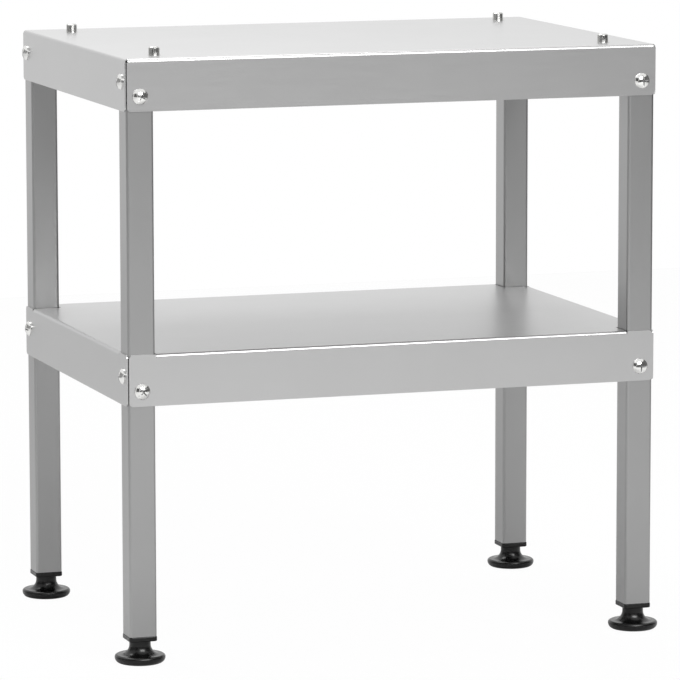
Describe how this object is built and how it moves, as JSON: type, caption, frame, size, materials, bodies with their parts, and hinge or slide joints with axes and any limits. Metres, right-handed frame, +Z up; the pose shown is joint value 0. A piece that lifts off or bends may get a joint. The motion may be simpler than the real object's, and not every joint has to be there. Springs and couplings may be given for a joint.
{
  "type": "smoker stand",
  "caption": "Two-tier galvanised steel stand with folded trays, square tube legs, locating pins on its top and screw-in levelling feet.",
  "frame": {"origin": "on the floor, under the middle of the stand", "axes": "+Z up, +X along the long side, -Y towards the front in the picture"},
  "size_m": [0.4144, 0.2944, 0.438],
  "materials": {
    "tray_sheet": "satin galvanised sheet",
    "leg_tube": "satin galvanised tube",
    "bright_screw": "bright plated",
    "bright_pin": "turned and plated",
    "plated_steel": "zinc plated",
    "black_plastic": "moulded, half gloss"
  },
  "bodies": {
    "stand": {"top_tray": "tray_sheet", "lower_shelf": "tray_sheet", "leg_front_left": "leg_tube", "leg_front_right": "leg_tube", "leg_rear_left": "leg_tube", "leg_rear_right": "leg_tube", "tube_plug_front_left": "black_plastic", "tube_plug_front_right": "black_plastic", "tube_plug_rear_left": "black_plastic", "tube_plug_rear_right": "black_plastic", "thread_insert_front_left": "plated_steel", "thread_insert_front_right": "plated_steel", "thread_insert_rear_left": "plated_steel", "thread_insert_rear_right": "plated_steel", "locating_pin_front_left": "bright_pin", "locating_pin_front_right": "bright_pin", "locating_pin_rear_left": "bright_pin", "locating_pin_rear_right": "bright_pin", "top_screws": "bright_screw", "top_rivet_nuts": "plated_steel", "shelf_screws": "bright_screw", "shelf_rivet_nuts": "plated_steel"},
    "foot_stud_front_left": {"foot_stud_front_left": "plated_steel"},
    "foot_base_front_left": {"foot_base_front_left": "black_plastic"},
    "foot_stud_front_right": {"foot_stud_front_right": "plated_steel"},
    "foot_base_front_right": {"foot_base_front_right": "black_plastic"},
    "foot_stud_rear_left": {"foot_stud_rear_left": "plated_steel"},
    "foot_base_rear_left": {"foot_base_rear_left": "black_plastic"},
    "foot_stud_rear_right": {"foot_stud_rear_right": "plated_steel"},
    "foot_base_rear_right": {"foot_base_rear_right": "black_plastic"}
  },
  "joints": [
    {"name": "foot_travel_front_left", "type": "slide", "parent": "stand", "child": "foot_stud_front_left", "axis": [0, 0, -1], "range_m": [0, 0.0125]},
    {"name": "foot_turn_front_left", "type": "hinge", "parent": "foot_stud_front_left", "child": "foot_base_front_left", "pos_m": [-0.189, -0.129, 0], "axis": [0, 0, -1], "range_deg": [0, 3600]},
    {"name": "foot_travel_front_right", "type": "slide", "parent": "stand", "child": "foot_stud_front_right", "axis": [0, 0, -1], "range_m": [0, 0.0125]},
    {"name": "foot_turn_front_right", "type": "hinge", "parent": "foot_stud_front_right", "child": "foot_base_front_right", "pos_m": [0.189, -0.129, 0], "axis": [0, 0, -1], "range_deg": [0, 3600]},
    {"name": "foot_travel_rear_left", "type": "slide", "parent": "stand", "child": "foot_stud_rear_left", "axis": [0, 0, -1], "range_m": [0, 0.0125]},
    {"name": "foot_turn_rear_left", "type": "hinge", "parent": "foot_stud_rear_left", "child": "foot_base_rear_left", "pos_m": [-0.189, 0.129, 0], "axis": [0, 0, -1], "range_deg": [0, 3600]},
    {"name": "foot_travel_rear_right", "type": "slide", "parent": "stand", "child": "foot_stud_rear_right", "axis": [0, 0, -1], "range_m": [0, 0.0125]},
    {"name": "foot_turn_rear_right", "type": "hinge", "parent": "foot_stud_rear_right", "child": "foot_base_rear_right", "pos_m": [0.189, 0.129, 0], "axis": [0, 0, -1], "range_deg": [0, 3600]}
  ],
  "couplings": [
    {"joint": "foot_travel_front_left", "follows": "foot_turn_front_left", "m_per_rad": 0.00019894},
    {"joint": "foot_travel_front_right", "follows": "foot_turn_front_right", "m_per_rad": 0.00019894},
    {"joint": "foot_travel_rear_left", "follows": "foot_turn_rear_left", "m_per_rad": 0.00019894},
    {"joint": "foot_travel_rear_right", "follows": "foot_turn_rear_right", "m_per_rad": 0.00019894}
  ]
}
